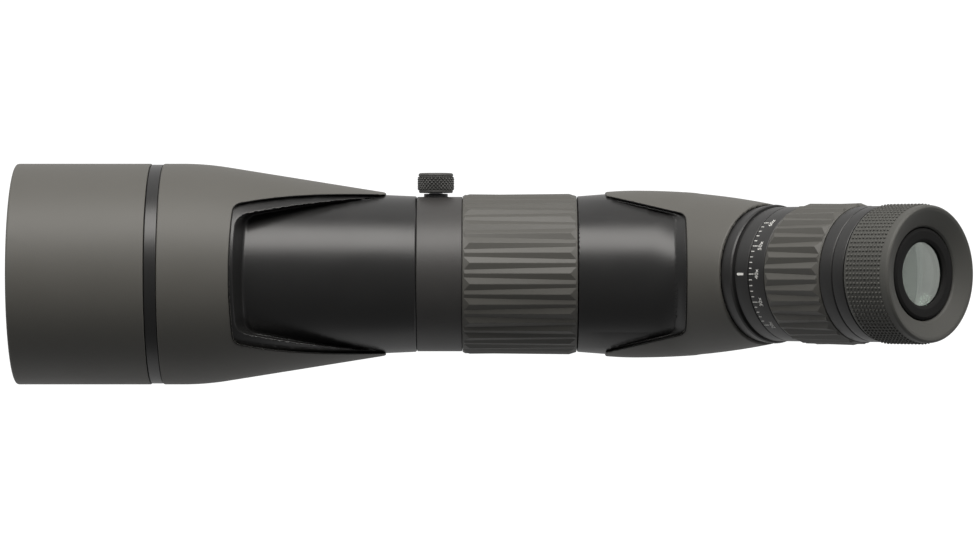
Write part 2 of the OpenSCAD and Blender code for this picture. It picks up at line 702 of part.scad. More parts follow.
module zoom_grip() color(grip_grey) difference() {
    turned_eye([
        [zoom_sleeve_r, scale_end], [zoom_r - 0.9, scale_end], [zoom_r, scale_end + 2.5],
        [zoom_r, zoom_end - 2.5],
        [zoom_r - 0.9, zoom_end], [zoom_sleeve_r, zoom_end]
    ]);
    for (i = [0:zoom_ridges - 1]) on_eyepiece() rotate([0, 0, i * 360 / zoom_ridges])
        translate([zoom_r + 0.3, 0, scale_end + 1.5]) rotate([0, 0, 45]) cube([1.5, 1.5, zoom_len - 3]);
}

// A lens cell with holes for its pins, open at the front and lipped at the rear
module zoom_cell(mid, half_len) difference() {
    turned_eye([
        [16.6, mid - half_len], [eye_bore_r - fit, mid - half_len], [eye_bore_r - fit, mid + half_len],
        [14.6, mid + half_len], [14.6, mid + half_len - 1.2], [16.6, mid + half_len - 1.2]
    ]);
    on_eyepiece() side_pins(zoom_pin_r, 12, eye_tube_r, mid);
}

module zoom_front_cell() color(tube_black) zoom_cell(zoom_front_mid, 5.5);
module zoom_rear_cell() color(tube_black) zoom_cell(zoom_rear_mid, 5.5);

module zoom_front_lens() color(lens_glass) turned_eye(
    lens_section(16.55, zoom_front_mid + 1.6, zoom_front_mid + 3.6, -0.5, -0.4));
module zoom_rear_lens() color(lens_glass) turned_eye(
    lens_section(16.55, zoom_rear_mid - 1.2, zoom_rear_mid + 4.9, 1.9, 0.8));

module zoom_pins(mid) on_eyepiece() side_pins(zoom_pin_r, 16.8, cam_r - 0.4, mid);
module zoom_front_pins() color(bare_metal) zoom_pins(zoom_front_mid);
module zoom_rear_pins() color(bare_metal) zoom_pins(zoom_rear_mid);

// ---- Twist-up eyecup ----

module eyecup_detent_ring() color(bare_metal) {
    tube_eye(25.2, cup_guide_r + fit, zoom_end + 1.5, zoom_end + 2.9);
    on_eyepiece() for (a = key_angles) rotate([0, 0, a])
        translate([22.2, -1.4, zoom_end + 1.5]) cube([1.6, 2.8, 1.4]);
}

module eyecup_sleeve() color(tube_black) difference() {
    tube_eye(25.3, cup_guide_r + fit, zoom_end + 3.1, cup_end - 7.9);
    on_eyepiece() side_pins(zoom_pin_r, 20, 30, cup_pin_mid);
}

module eyecup_pins() color(bare_metal) on_eyepiece() side_pins(zoom_pin_r, 22.15, 25.2, cup_pin_mid);

module eyecup_rubber() color(grip_grey) turned_eye([
    [25.3, cup_front], [cup_r - 0.3, cup_front], [cup_r, cup_front + 0.4], [cup_r, cup_end - 3.5],
    [cup_r - 0.4, cup_end - 1.2], [cup_r - 1.2, cup_end - 0.2], [cup_r - 1.9, cup_end],
    [cup_r - 2.6, cup_end - 0.5], [eye_bore_r + 0.9, cup_end - 3.6], [eye_bore_r + 0.4, cup_end - 4.2],
    [eye_bore_r + 0.4, cup_end - 7.9], [25.3, cup_end - 7.9]
]);

mount_collar();
collar_liner();
socket_insert();
lock_bushing();
brake_shoe();
lock_knob();
lock_stud();
objective_barrel();
front_armour();
objective_cell();
objective_front_lens();
objective_rear_lens();
objective_spacer();
objective_retainer();
objective_seal();
shade_felt_rings();
shade_stop_ring();
barrel_baffles();
guide_tube();
prism_housing();
rear_armour();
prism_cage();
roof_prism();
prism_clamp();
prism_screws();
eyepiece_barrel();
eyepiece_seal();
field_stop();
index_ring();
eye_collar();
eyecup_stop_ring();
eyecup_guide();
eye_lens_housing();
eye_lens();
eye_doublet();
sunshade_tube();
sunshade_armour();
focus_sleeve();
focus_grip();
focus_seals();
focus_cell();
focus_lens();
focus_lens_retainer();
focus_pins();
zoom_cam();
zoom_sleeve();
scale_ring();
zoom_grip();
zoom_front_cell();
zoom_front_lens();
zoom_front_pins();
zoom_rear_cell();
zoom_rear_lens();
zoom_rear_pins();
eyecup_detent_ring();
eyecup_sleeve();
eyecup_rubber();
eyecup_pins();
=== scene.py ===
"""Looks for the angled spotting scope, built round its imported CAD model.

Lengths are in mm until mesh_of() turns them into metres.
"""

import json
import math

import bpy
import numpy as np
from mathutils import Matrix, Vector


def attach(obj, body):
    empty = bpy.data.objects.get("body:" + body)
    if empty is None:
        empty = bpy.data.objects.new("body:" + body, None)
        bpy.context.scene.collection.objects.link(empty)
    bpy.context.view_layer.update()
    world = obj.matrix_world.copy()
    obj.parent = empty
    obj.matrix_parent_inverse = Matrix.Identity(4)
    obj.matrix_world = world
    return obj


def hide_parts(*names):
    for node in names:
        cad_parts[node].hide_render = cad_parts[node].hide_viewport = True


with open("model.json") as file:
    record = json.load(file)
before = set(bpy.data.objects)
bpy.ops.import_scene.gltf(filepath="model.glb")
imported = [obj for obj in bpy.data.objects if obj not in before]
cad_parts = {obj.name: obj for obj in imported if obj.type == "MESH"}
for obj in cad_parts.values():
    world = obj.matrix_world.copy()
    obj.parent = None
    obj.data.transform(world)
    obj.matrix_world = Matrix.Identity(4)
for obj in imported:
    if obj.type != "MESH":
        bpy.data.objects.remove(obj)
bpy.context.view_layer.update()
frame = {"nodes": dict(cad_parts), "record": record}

# ---------------------------------------------------------------- sizes, as in the CAD source
AXIS_H = 56.0
BEND_X = 109.6
SHADE_FRONT, SHADE_REAR = -183.8, -125.3
BAND_FRONT, BAND_REAR = -125.0, -119.8
TONGUE_TIP = -22.95
COLLAR_HALF = 9.65
FOCUS_X0, FOCUS_X1 = 9.95, 59.35
HOUSING_X0 = 59.65
BOSS_END = 42.7
EYE_BASE = 49.7
INDEX_END = EYE_BASE + 8
SCALE_END = EYE_BASE + 16.8
ZOOM_END = SCALE_END + 30
COLLAR_SEAM = ZOOM_END + 6.9
CUP_BASE = COLLAR_SEAM + 6.2
CUP_FRONT = CUP_BASE + 0.3
CUP_END = CUP_FRONT + 23.3
EYE_TUBE_END = CUP_END - 8.6
SCALE_R = 28.6
SPIGOT_R = 24.4
HOOD_R, HOOD_BORE = 48.0, 45.2
CELL_R = 44.6
# Visible black tube: where it starts, and its radius there and at the armour's tips
TUBE_X0, TUBE_R0, TUBE_R1 = -86.5, 35.4, 34.4

Q = math.sqrt(0.5)
# Each axis: a point on it, its direction, and the directions of angles 0 and 90 degrees round it
OPTICAL = tuple(map(np.array, ((0, 0, AXIS_H), (1.0, 0, 0), (0, 0, -1.0), (0, 1.0, 0))))
EYE = tuple(map(np.array, ((BEND_X, 0, AXIS_H), (Q, 0, Q), (Q, 0, -Q), (0, 1.0, 0))))


def place(axis, r, x, angle):
    """Points at radius r, distance x and angle (radians) round an axis."""
    origin, along, zero, quarter = axis
    r, x, angle = np.broadcast_arrays(r, x, angle)
    ring = np.cos(angle)[..., None] * zero + np.sin(angle)[..., None] * quarter
    return origin + x[..., None] * along + r[..., None] * ring


# ---------------------------------------------------------------- materials

def material(name, color, rough, metal=0.0, spec=0.5, grain=(0.0, 1000.0), mottle=0.08, sheen=0.0, **extra):
    """Procedural finish: a fine grain in the surface, with slightly uneven colour and roughness."""
    m = bpy.data.materials.new(name)
    m.use_nodes = True
    nt = m.node_tree
    p = nt.nodes["Principled BSDF"]
    p.inputs["Base Color"].default_value = (*color, 1)
    p.inputs["Metallic"].default_value = metal
    p.inputs["Specular IOR Level"].default_value = spec
    p.inputs["Sheen Weight"].default_value = sheen
    for key, value in extra.items():
        p.inputs[key.replace("_", " ")].default_value = value
    where = nt.nodes.new("ShaderNodeTexCoord")
    soft = nt.nodes.new("ShaderNodeTexNoise")
    soft.inputs["Scale"].default_value = 60
    soft.inputs["Detail"].default_value = 4
    nt.links.new(where.outputs["Object"], soft.inputs["Vector"])
    tone = nt.nodes.new("ShaderNodeMixRGB")
    tone.inputs["Color1"].default_value = (*[c * (1 - mottle) for c in color], 1)
    tone.inputs["Color2"].default_value = (*[min(1, c * (1 + mottle)) for c in color], 1)
    nt.links.new(soft.outputs["Fac"], tone.inputs["Fac"])
    nt.links.new(tone.outputs["Color"], p.inputs["Base Color"])
    spread = nt.nodes.new("ShaderNodeMapRange")
    spread.inputs["To Min"].default_value = max(0.0, rough - 0.04)
    spread.inputs["To Max"].default_value = min(1.0, rough + 0.04)
    nt.links.new(soft.outputs["Fac"], spread.inputs["Value"])
    nt.links.new(spread.outputs["Result"], p.inputs["Roughness"])
    if grain[0]:
        fine = nt.nodes.new("ShaderNodeTexNoise")
        fine.inputs["Scale"].default_value = grain[1]
        fine.inputs["Detail"].default_value = 2
        nt.links.new(where.outputs["Object"], fine.inputs["Vector"])
        bump = nt.nodes.new("ShaderNodeBump")
        bump.inputs["Strength"].default_value = grain[0]
        bump.inputs["Distance"].default_value = 0.0001
        nt.links.new(fine.outputs["Fac"], bump.inputs["Height"])
        nt.links.new(bump.outputs["Normal"], p.inputs["Normal"])
    return m


def glass_material(name, body, gloss_tint, gloss, rough=0.02):
    """Clear glass under a reflection tinted by its coating."""
    m = bpy.data.materials.new(name)
    m.use_nodes = True
    nt = m.node_tree
    out = nt.nodes["Material Output"]
    p = nt.nodes["Principled BSDF"]
    p.inputs["Base Color"].default_value = (*body, 1)
    p.inputs["Transmission Weight"].default_value = 1.0
    p.inputs["IOR"].default_value = 1.52
    p.inputs["Roughness"].default_value = rough
    shine = nt.nodes.new("ShaderNodeBsdfGlossy")
    shine.inputs["Color"].default_value = (*gloss_tint, 1)
    shine.inputs["Roughness"].default_value = rough + 0.02
    where = nt.nodes.new("ShaderNodeTexCoord")
    cloud = nt.nodes.new("ShaderNodeTexNoise")
    cloud.inputs["Scale"].default_value = 40
    nt.links.new(where.outputs["Object"], cloud.inputs["Vector"])
    share = nt.nodes.new("ShaderNodeMapRange")
    share.inputs["To Min"].default_value = gloss * 0.85
    share.inputs["To Max"].default_value = gloss * 1.15
    nt.links.new(cloud.outputs["Fac"], share.inputs["Value"])
    mix = nt.nodes.new("ShaderNodeMixShader")
    nt.links.new(share.outputs["Result"], mix.inputs["Fac"])
    nt.links.new(p.outputs["BSDF"], mix.inputs[1])
    nt.links.new(shine.outputs["BSDF"], mix.inputs[2])
    nt.links.new(mix.outputs["Shader"], out.inputs["Surface"])
    return m


ARMOUR = material("armour_rubber", (0.071, 0.069, 0.062), 0.55, spec=0.45, grain=(0.25, 3000), mottle=0.04)
GRIP = material("grip_rubber", (0.060, 0.0585, 0.0525), 0.52, spec=0.45, grain=(0.25, 3500), mottle=0.05)
KNOB = material("knob_rubber", (0.050, 0.050, 0.048), 0.55, spec=0.45, grain=(0.2, 3500), mottle=0.05)
CUP = material("eyecup_rubber", (0.056, 0.056, 0.051), 0.60, spec=0.4, grain=(0.3, 3500), mottle=0.05)
TUBE = material("satin_black", (0.012, 0.012, 0.012), 0.34, spec=0.5, grain=(0.10, 5000))
RING = material("eyepiece_black", (0.013, 0.013, 0.013), 0.42, spec=0.5, grain=(0.12, 5000))
COLLAR = material("collar_black", (0.028, 0.027, 0.026), 0.47, spec=0.55, grain=(0.22, 4500))
INNER = material("matt_black", (0.008, 0.008, 0.008), 0.8, spec=0.2, grain=(0.2, 2500))
# Near-black, darker than the other blacks: painted shade for the armour's shaded edge wall round the windows
WINDOW_EDGE_SHADE = material("window_line", (0.004, 0.004, 0.004), 0.6, spec=0.2)
PAINT = material("scale_paint", (0.60, 0.60, 0.58), 0.5, mottle=0.03)
STEEL = material("ground_steel", (0.58, 0.58, 0.60), 0.28, metal=1.0, grain=(0.1, 2500))
BRASS = material("machined_brass", (0.62, 0.47, 0.22), 0.3, metal=1.0, grain=(0.08, 2500))
NYLON = material("natural_nylon", (0.72, 0.72, 0.67), 0.5, mottle=0.03)
FELT = material("black_felt", (0.012, 0.012, 0.012), 0.95, spec=0.1, grain=(0.8, 1500), sheen=0.4)
SEAL = material("nitrile", (0.010, 0.010, 0.010), 0.45, spec=0.4)
COATED = glass_material("coated_glass", (0.86, 0.97, 0.90), (0.30, 0.62, 0.40), 0.16)
EYE_GLASS = glass_material("eye_glass", (0.88, 0.92, 0.89), (0.78, 0.84, 0.78), 0.30, 0.03)
GLASS = glass_material("optical_glass", (0.93, 0.97, 0.95), (0.55, 0.75, 0.60), 0.06)

CAD_MATERIALS = {
    "armour": ARMOUR, "grip": GRIP, "tube": TUBE, "collar": COLLAR, "housing": TUBE, "inner_tube": INNER,
    "felt": FELT, "steel": STEEL, "bronze": BRASS, "nylon": NYLON, "seal": SEAL, "coated_glass": COATED,
    "glass": GLASS,
}
for sub in frame["record"]["subparts"]:
    node = frame["nodes"][sub["node"]]
    for k in range(len(node.data.materials)):
        node.data.materials[k] = CAD_MATERIALS[sub["material_slot"]]
    if not node.data.materials:
        node.data.materials.append(CAD_MATERIALS[sub["material_slot"]])


# ---------------------------------------------------------------- meshes

def mesh_of(name, verts, faces, mat, crease=35, normals=None):
    """Mesh object from points in mm. Edges sharper than crease degrees stay sharp; None keeps it faceted."""
    me = bpy.data.meshes.new(name)
    me.from_pydata((np.asarray(verts, float) / 1000).tolist(), [], [tuple(map(int, f)) for f in faces])
    me.validate()
    me.update()
    o = bpy.data.objects.new(name, me)
    bpy.context.scene.collection.objects.link(o)
    me.materials.append(mat)
    if crease is not None:
        me.polygons.foreach_set("use_smooth", [True] * len(me.polygons))
        if normals is None:
            me.set_sharp_from_angle(angle=math.radians(crease))
        else:
            me.normals_split_custom_set_from_vertices(normals.tolist())
    return o


def piece(name, verts, faces, mat, body, nodes=(), crease=35, normals=None):
    """A visual piece that rides on a CAD body and stands for CAD nodes."""
    o = mesh_of(name, verts, faces, mat, crease, normals)
    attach(o, body)
    if nodes:
        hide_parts(*nodes)
    return o


def rounded(points, default=0.2):
    """Rounds the corners of a closed section. A point is (radius, x) or (radius, x, corner radius)."""
    out = []
    n = len(points)
    for i in range(n):
        p = np.array(points[i][:2], float)
        a = np.array(points[i - 1][:2], float) - p
        b = np.array(points[(i + 1) % n][:2], float) - p
        want = points[i][2] if len(points[i]) > 2 else default
        la, lb = np.linalg.norm(a), np.linalg.norm(b)
        cos = np.clip(a @ b / (la * lb), -1, 1)
        half = math.acos(cos) / 2
        if want <= 0 or half > math.radians(86):
            out.append(p)
            continue
        cut = min(want / math.tan(half), 0.45 * la, 0.45 * lb)
        for t in np.linspace(0, 1, 5):
            start, end = p + a / la * cut, p + b / lb * cut
            out.append((1 - t) ** 2 * start + 2 * t * (1 - t) * p + t ** 2 * end)
    return np.array(out)


def ring_faces(index, flip):
    """Quads between the rings of a closed section, or triangles where a ring is a pole."""
    faces = []
    for a, b in zip(index, index[1:] + index[:1]):
        if a[0] == a[1] and b[0] == b[1]:
            continue
        for k in range(len(a)):
            m = (k + 1) % len(a)
            ring = [a[k], b[k], b[m], a[m]] if flip else [a[k], a[m], b[m], b[k]]
            faces.append(list(dict.fromkeys(ring)))
    return faces


def lathe(axis, section, segments=192):
    """Closed surface from turning a closed section of (radius, x) points. A point on the axis is a pole."""
    section = np.asarray(section, float)
    angle = np.linspace(0, 2 * math.pi, segments, endpoint=False)
    index, verts = [], []
    for r, x in section:
        if r < 1e-6:
            index.append(np.full(segments, len(verts)))
            verts.append(place(axis, 0.0, x, 0.0))
        else:
            index.append(np.arange(segments) + len(verts))
            verts.extend(place(axis, r, x, angle))
    area = 0.0
    n = len(section)
    for i in range(n):
        (r0, x0), (r1, x1) = section[i], section[(i + 1) % n]
        area += r0 * x1 - r1 * x0
    return verts, ring_faces(index, area < 0)


def turned(name, axis, section, mat, body, nodes=(), corner=0.2, segments=192, crease=35):
    """A turned piece whose section has its corners rounded."""
    verts, faces = lathe(axis, rounded(section, corner), segments)
    return piece(name, verts, faces, mat, body, nodes, crease)


def join_parts(parts):
    """One vertex and face list from several."""
    verts, faces = [], []
    for v, f in parts:
        base = len(verts)
        verts.extend(list(v))
        faces.extend([[i + base for i in face] for face in f])
    return verts, faces


# ---------------------------------------------------------------- implicit forms

def smax(a, b, k):
    """Larger of two fields, with the edge between them rounded over a width k."""
    return np.maximum(a, b) + np.maximum(k - np.abs(a - b), 0) ** 2 / (4 * k)


def smin(a, b, k):
    """Smaller of two fields, with the crease between them filled over a width k."""
    return -smax(-a, -b, k)


def surface_of(form, lo, hi, cell):
    """Points, faces and normals where form(x, y, z) is zero, by surface nets and Newton steps."""
    axes = [np.arange(lo[i], hi[i] + cell, cell) for i in range(3)]
    shape = tuple(len(a) for a in axes)
    value = np.empty(shape, np.float32)
    step = max(1, 2_000_000 // (shape[1] * shape[2]))
    for i in range(0, shape[0], step):
        slab = axes[0][i:i + step, None, None]
        value[i:i + step] = form(slab, axes[1][None, :, None], axes[2][None, None, :])
    inside = value < 0
    cells = tuple(s - 1 for s in shape)
    total = np.zeros(cells, np.int8)
    for c in np.ndindex(2, 2, 2):
        total += inside[c[0]:c[0] + cells[0], c[1]:c[1] + cells[1], c[2]:c[2] + cells[2]]
    active = np.argwhere((total > 0) & (total < 8))
    number = np.full(cells, -1, np.int64)
    number[tuple(active.T)] = np.arange(len(active))
    sums, counts = np.zeros((len(active), 3)), np.zeros(len(active))
    for axis in range(3):
        for u in (0, 1):
            for v in (0, 1):
                c = np.zeros(3, int)
                c[(axis + 1) % 3], c[(axis + 2) % 3] = u, v
                a = active + c
                b = a.copy()
                b[:, axis] += 1
                va, vb = value[tuple(a.T)], value[tuple(b.T)]
                hit = (va < 0) != (vb < 0)
                t = va[hit] / (va[hit] - vb[hit])
                at = a[hit].astype(float)
                at[:, axis] += t
                sums[hit] += at
                counts[hit] += 1
    points = np.array([a[0] for a in axes]) + cell * sums / counts[:, None]
    faces = []
    for axis in range(3):
        o1, o2 = (axis + 1) % 3, (axis + 2) % 3
        sa = [slice(1, s - 1) for s in shape]
        sa[axis] = slice(0, shape[axis] - 1)
        sb = list(sa)
        sb[axis] = slice(1, shape[axis])
        first, second = inside[tuple(sa)], inside[tuple(sb)]
        for flip, hit in ((False, first & ~second), (True, ~first & second)):
            at = np.argwhere(hit) + 1
            at[:, axis] -= 1
            corner = []
            for d1, d2 in ((-1, -1), (0, -1), (0, 0), (-1, 0)):
                c = at.copy()
                c[:, o1] += d1
                c[:, o2] += d2
                corner.append(number[tuple(c.T)])
            quad = np.stack(corner[::-1] if flip else corner, 1)
            faces.append(quad[(quad >= 0).all(1)])
    faces = np.concatenate(faces)

    def slope(p):
        e = 0.02
        g = np.empty_like(p)
        for i in range(3):
            q0, q1 = p.copy(), p.copy()
            q0[:, i] -= e
            q1[:, i] += e
            g[:, i] = (form(*q1.T) - form(*q0.T)) / (2 * e)
        return g

    for _ in range(4):
        g = slope(points)
        move = (form(*points.T) / np.maximum((g * g).sum(1), 0.2))[:, None] * g
        size = np.linalg.norm(move, axis=1, keepdims=True)
        points = points - move * np.minimum(1, 0.4 * cell / np.maximum(size, 1e-9))
    g = slope(points)
    normals = g / np.maximum(np.linalg.norm(g, axis=1, keepdims=True), 1e-9)
    used, inverse = np.unique(faces, return_inverse=True)
    return points[used], inverse.reshape(faces.shape), normals[used]


def moulded(name, form, lo, hi, cell, mat, body, nodes):
    """A piece from an implicit form, whose z starts at the optical axis."""
    points, faces, normals = surface_of(form, lo, hi, cell)
    points = points + np.array([0, 0, AXIS_H])
    return piece(name, points, faces, mat, body, nodes, crease=180, normals=normals)


def front_armour_r(x):
    """Outside of the front armour: a cylinder that bends into a cone."""
    shoulder, cone, slope = -111.5, -92.0, 0.16
    soft = HOOD_R - slope * (np.clip(x, shoulder, cone) - shoulder) ** 2 / (2 * (cone - shoulder))
    return soft - slope * np.maximum(x - cone, 0)


def barrel_r(x):
    """Outside of the visible black tube."""
    return np.interp(x, [TUBE_X0, TONGUE_TIP], [TUBE_R0, TUBE_R1])


def bed_r(x):
    """Surface the front armour lies on."""
    return np.maximum(front_armour_r(x) - 1.4, barrel_r(x))


FRONT_WINDOW_X = -89.1
# Smooth sides of the window and of the pocket behind it: half widths at a few stations along the axis
SIDE_FIT = np.polyfit([-88, -83.7, -68.3, -54, -40.5, -24], [29.5, 30.7, 32.8, 33.9, 34.4, 34.3], 3)
POCKET_FIT = np.polyfit([-82.1, -64.5, -40.7, -27], [25.6, 28.9, 31.7, 33.0], 2)


def front_outline(x, y):
    """Below zero inside the front window, seen from above."""
    side = np.abs(y) - np.polyval(SIDE_FIT, np.clip(x, -92, -20))
    return smax(side, FRONT_WINDOW_X + 0.0016 * y * y - x, 3.0)


def front_form(x, y, z):
    """Front armour with its window."""
    r = np.sqrt(y * y + z * z)
    outer = r - front_armour_r(x)
    window = (front_outline(x, y) - 0.2 * np.minimum(outer, 0)) / 1.04
    body = smax(outer, -window, 0.5)
    body = smax(body, x - TONGUE_TIP, 1.6)
    body = smax(body, BAND_REAR - x, 0.5)
    return smax(body, bed_r(x) - 0.35 - r, 0.2)


def front_bed_form(x, y, z):
    """Conical seat of the front armour on the barrel, with the pocket behind the window."""
    r = np.sqrt(y * y + z * z)
    outer = r - bed_r(x)
    depth = np.maximum(-outer, 0)
    side = np.abs(y) - np.polyval(POCKET_FIT, np.clip(x, -88, -20))
    end = (-87.6 + 0.0016 * y * y - x + 0.45 * depth) / 1.1
    pocket = smax(side + 0.04 * depth, end, 5.0)
    ledge = bed_r(x) - r
    body = smax(outer, -smax(front_outline(x, y) + 0.3, ledge, 0.3), 0.3)
    body = smax(body, -pocket, 0.5)
    body = smin(body, r - barrel_r(x) + 0.08, 1.5 * np.clip((-32 - x) / 34, 0.05, 1))
    body = smax(body, x + 26, 0.2)
    body = smax(body, BAND_REAR - 0.1 - x, 0.2)
    return smax(body, barrel_r(x) - 1.6 - r, 0.2)


REAR_WINDOW_X = 105.5
REAR_TIP_X = 71.9
# Layers of the rear body: barrel radius, inset of the boss, width of the blend, and whether it has a waist
REAR_SKIN = (36.3, 0.0, 7.0, True)
REAR_BED = (35.1, 1.2, 6.5, True)
REAR_CASTING = (33.9, 2.3, 6.0, False)
REAR_HOLLOW = (30.9, 5.0, 6.0, False)


def rear_side(x, y, half):
    """Below zero between the window's slanting sides, which are half away from the axis at the tips."""
    return (np.abs(y) - half + (x - 73.5) * 0.2397) / 1.028


def rear_outline(x, y):
    """Below zero inside the rear window, seen from above."""
    return smax(rear_side(x, y, 33.4), x - REAR_WINDOW_X, 2.6)


def boss_r(t):
    """Outside of the boss that carries the eyepiece, which tapers along it."""
    t = np.clip(t, 0, 60)
    return 35.2 - 0.07 * t - 0.0011 * t * t


def rear_body(x, y, z, r_barrel, inset, blend, waisted):
    """Barrel with a domed end, joined softly to the boss that carries the eyepiece."""
    dx = np.maximum(x - BEND_X, 0)
    reach = np.sqrt(dx * dx + y * y + z * z)
    # The armour swells gently between its tips and the dome
    ahead = np.clip(85 - x, 0, 19) if waisted else 0.0
    waist = 0.0035 * ahead ** 2 + 0.0014 * np.clip(x - 85, 0, 40) ** 2
    barrel = reach - r_barrel + np.minimum(waist, 1.2)
    along = Q * (x - BEND_X) + Q * z
    across = Q * (x - BEND_X) - Q * z
    rho = np.sqrt(across * across + y * y)
    boss = smax(rho - boss_r(along) + inset, -along - 2, 1)
    boss = smax(boss, along - BOSS_END - 5, 0.2)
    # The blend fades out where the two surfaces run the same way
    alike = (Q * across * (dx - z) + y * y) / np.maximum(reach * rho, 1e-6)
    soft = blend * np.clip((1 - alike) / 0.29, 0.01, 1)
    return smin(barrel, boss, soft), along, rho


def rear_outer(x, y, z):
    """Outer surface of the rear armour, without its window."""
    return rear_body(x, y, z, *REAR_SKIN)[0]


def rear_form(x, y, z):
    """Outer layer of the rear armour with its window."""
    outer, along, rho = rear_body(x, y, z, *REAR_SKIN)
    inner = rear_body(x, y, z, *REAR_BED)[0]
    window = (rear_outline(x, y) - 0.2 * np.minimum(outer, 0)) / 1.04
    body = smax(outer, -window, 0.5)
    body = smax(body, REAR_TIP_X - x, 0.8)
    body = smax(body, along - BOSS_END, 0.5)
    body = smax(body, SPIGOT_R - rho, 0.2)
    return smax(body, -inner - 0.3, 0.2)


def rear_bed_form(x, y, z):
    """Inner layer of the rear armour, which shows as a black edge inside the window."""
    outer, along, rho = rear_body(x, y, z, *REAR_BED)
    inner = rear_body(x, y, z, *REAR_CASTING)[0]
    depth = np.maximum(-outer, 0)
    side = rear_side(x, y, 32.2) + 0.3 * depth
    pocket = smax(side, (x - REAR_WINDOW_X + 1.2 + 3.0 * depth) / 3.2, 1.5)
    body = smax(outer, -pocket, 0.4)
    body = smax(body, REAR_TIP_X + 0.2 - x, 0.5)
    body = smax(body, along - BOSS_END + 0.2, 0.3)
    body = smax(body, SPIGOT_R - rho, 0.2)
    return smax(body, -inner - 0.4, 0.2)


def housing_form(x, y, z):
    """Hollow casting for the prism, with a bore in front and a seat for the eyepiece."""
    outer, along, rho = rear_body(x, y, z, *REAR_CASTING)
    # The cylinder widens at the sides to meet the tips of the armour
    outer = outer - 0.85 * np.clip((x - 60.5) / 11, 0, 1) * np.clip((np.abs(y) - 25) / 7, 0, 1) * (x < 90)
    body = smax(outer, HOUSING_X0 - x, 0.5)
    body = smax(body, along - BOSS_END, 0.3)
    hollow = rear_body(x, y, z, *REAR_HOLLOW)[0]
    body = smax(body, -smax(hollow, HOUSING_X0 + 4 - x, 0.3), 0.3)
    bore = smax(np.sqrt(y * y + z * z) - 26.05, x - 66, 0.2)
    spigot = smax(rho - 24.45, 20 - along, 0.2)
    return smax(smax(body, -bore, 0.2), -spigot, 0.2)


def foot_form(x, y, z):
    """Foot plate, flared neck and its seat under the ring."""
    plate = np.maximum(np.abs(x) - 27, 0) ** 2 + np.maximum(np.abs(y) - 11, 0) ** 2
    plate = smax(np.sqrt(plate) - 4, np.abs(z + 51.6) - 4.4, 1.2)
    neck = smax(smax(np.abs(x) - 8.25, np.abs(y) - 11, 3), np.abs(z + 38) - 13, 0.3)
    ring = smax(smax(np.sqrt(y * y + z * z) - 33.3, np.abs(x) - 9.3, 0.5), z + 21, 0.3)
    body = smin(smin(plate, neck, 5), ring, 3)
    socket = smax(np.sqrt(x * x + y * y) - 5.5, z + 47, 0.1)
    return smax(smax(body, -socket, 0.2), 30.1 - np.sqrt(y * y + z * z), 0.2)


moulded("front_armour_skin", front_form, (-121, -49, -49), (-21.5, 49, 49), 0.72, ARMOUR,
        "scope_body", ["front_armour"])
moulded("front_armour_seat", front_bed_form, (-121, -48, -48), (-24.5, 48, 48), 0.72, TUBE,
        "scope_body", ["objective_barrel"])
moulded("rear_armour_bed", rear_bed_form, (68, -36.5, -36.5), (168, 36.5, 58), 0.6, TUBE,
        "scope_body", ["rear_armour"])
moulded("rear_armour_skin", rear_form, (68, -37.5, -37.5), (168, 37.5, 58), 0.72, ARMOUR,
        "scope_body", ["rear_armour"])
moulded("prism_housing_cast", housing_form, (58.5, -35.5, -35.5), (166, 35.5, 57), 0.9, TUBE,
        "scope_body", ["prism_housing"])
moulded("collar_foot", foot_form, (-32, -16.5, -57), (32, 16.5, -19), 0.6, COLLAR,
        "tripod_collar", ["mount_collar"])


def cord_mesh(path, radius):
    """Round bead along an open path of points."""
    sides = 8
    path = np.asarray(path, float)
    verts, faces = [], []
    up = np.array([0, 0, 1.0])
    for i, p in enumerate(path):
        t = path[min(i + 1, len(path) - 1)] - path[max(i - 1, 0)]
        t /= np.linalg.norm(t)
        side = np.cross(t, up)
        if np.linalg.norm(side) < 1e-6:
            side = np.array([1.0, 0, 0])
        side /= np.linalg.norm(side)
        over = np.cross(side, t)
        for k in range(sides):
            a = 2 * math.pi * k / sides
            verts.append(p + radius * (math.cos(a) * side + math.sin(a) * over))
    for i in range(len(path) - 1):
        for k in range(sides):
            m = (k + 1) % sides
            faces.append([i * sides + k, i * sides + m, (i + 1) * sides + m, (i + 1) * sides + k])
    last = (len(path) - 1) * sides
    faces.append(list(range(sides))[::-1])
    faces.append(list(range(last, last + sides)))
    return verts, faces


def drop_onto(form, path, side):
    """Lifts plan points onto a surface, above the axis for side 1 and below it for side -1."""
    x, y = path[:, 0], path[:, 1]
    low, high = np.zeros(len(x)), np.full(len(x), 62.0)
    for _ in range(40):
        mid = (low + high) / 2
        solid = form(x, y, side * mid) < 0
        low, high = np.where(solid, mid, low), np.where(solid, high, mid)
    return np.stack([x, y, side * (low + high) / 2 + AXIS_H], 1)


def outline_path(outline, start, end, x_end):
    """Half the window's outline in plan, from its open end to the middle of its closed end.

    Rays fan out from the middle of the window, and each is halved down to where it leaves the outline.
    """
    centre = np.array([(start + end) / 2, 0.0])
    reach = abs(end - start) / 2 + 0.5
    sign = 1 if x_end > centre[0] else -1
    open_part = np.linspace(math.pi * 0.97, math.pi * 0.5, 30)[:-1]
    fan = np.concatenate([open_part, np.linspace(math.pi * 0.5, 0, 90)])
    pts = []
    for a in fan:
        d = np.array([sign * math.cos(a) * reach, math.sin(a) * 60.0])
        low, high = 0.0, 1.6
        for _ in range(40):
            mid = (low + high) / 2
            p = centre + mid * d
            if outline(p[0], p[1]) < 0:
                low = mid
            else:
                high = mid
        p = centre + low * d
        if min(start, end) - 0.6 <= p[0] <= max(start, end) + 0.6 and low < 1.55:
            pts.append(p)
    return np.array(pts)


